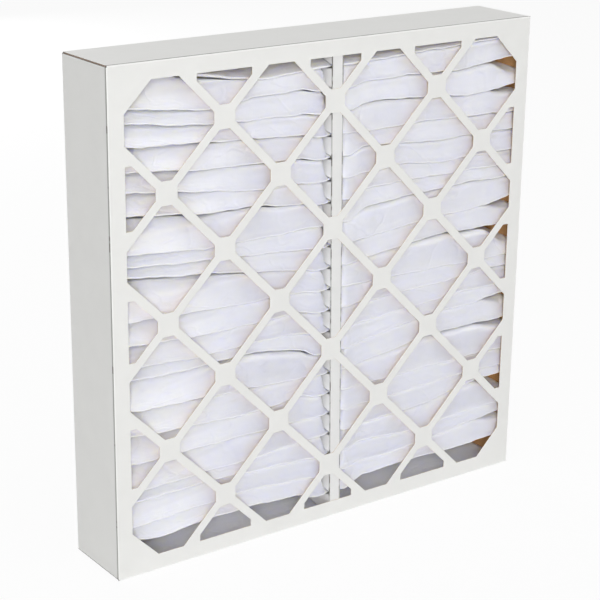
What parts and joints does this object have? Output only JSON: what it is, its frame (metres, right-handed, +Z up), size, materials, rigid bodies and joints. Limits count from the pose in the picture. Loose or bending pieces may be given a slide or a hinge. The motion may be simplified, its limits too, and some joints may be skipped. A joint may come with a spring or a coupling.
{
  "type": "pleated panel air filter",
  "caption": "Pleated panel air filter: folded nonwoven media held in a nested-tray board frame with diagonal lattice grilles, for cleaning ventilation supply air.",
  "frame": {"origin": "middle of the bottom edge, halfway through the depth", "axes": "+X to the right seen from the air-entering side, +Y from the air-entering face to the air-leaving face, +Z up, pleats running along X"},
  "size_m": [0.5936, 0.0952, 0.5937],
  "materials": {
    "outer_board": "coated white face",
    "inner_board": "kraft inside face, coated white grille face",
    "media": "lofted white nonwoven",
    "front_card": "coated white card",
    "rear_card": "coated white card",
    "grid_wire": "galvanized drawn wire"
  },
  "bodies": {
    "root": {"outer_tray": "outer_board", "inner_tray": "inner_board", "filter_media": "media", "front_stabilizer": "front_card", "rear_stabilizer": "rear_card", "support_grid": "grid_wire"}
  },
  "joints": []
}
